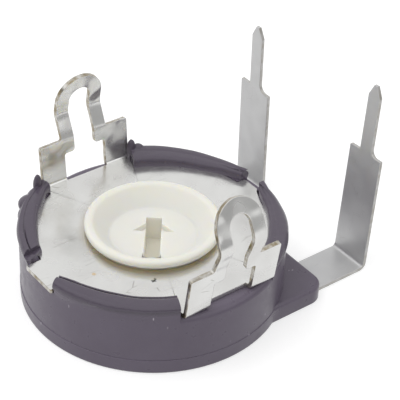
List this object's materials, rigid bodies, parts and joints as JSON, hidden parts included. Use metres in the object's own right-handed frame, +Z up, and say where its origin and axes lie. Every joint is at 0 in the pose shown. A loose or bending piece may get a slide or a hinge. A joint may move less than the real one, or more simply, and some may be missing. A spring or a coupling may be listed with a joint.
{
  "type": "trimmer potentiometer",
  "caption": "Open-frame single-turn carbon trimmer: round housing with a dished rotor, snap-in collector loops and two upright end terminals.",
  "frame": {"origin": "on the rotor axis, in the flat underside of the housing", "axes": "+Z up along the rotor axis and the terminals; +X towards the nose that carries the end terminals; +Y towards one snap-in loop"},
  "size_m": [0.021, 0.0168, 0.0121],
  "materials": {
    "moulded_case": "semi-gloss moulded, dark violet grey",
    "tinned_collector": "tin-plated sheet with bare cut edges",
    "rotor_plastic": "satin moulded, off-white",
    "spring_bronze": "bright rolled strip",
    "laminate": "phenolic paper laminate",
    "carbon_ink": "screen-printed carbon",
    "silver_ink": "screen-printed silver",
    "tinned_terminal": "tin-plated strip, dull",
    "rivet_brass": "plain brass"
  },
  "bodies": {
    "case": {"housing": "moulded_case", "collector_plate": "tinned_collector", "element_board": "laminate", "carbon_track": "carbon_ink", "track_end_pads": "silver_ink", "end_terminal_a": "tinned_terminal", "end_terminal_b": "tinned_terminal", "terminal_rivet_a": "rivet_brass", "terminal_rivet_b": "rivet_brass"},
    "rotor_unit": {"rotor": "rotor_plastic", "wiper_contact": "spring_bronze"}
  },
  "joints": [
    {"name": "rotor_turn", "type": "hinge", "parent": "case", "child": "rotor_unit", "pos_m": [0, 0, 0], "axis": [0, 0, 1], "range_deg": [-4.5, 260.5]}
  ]
}
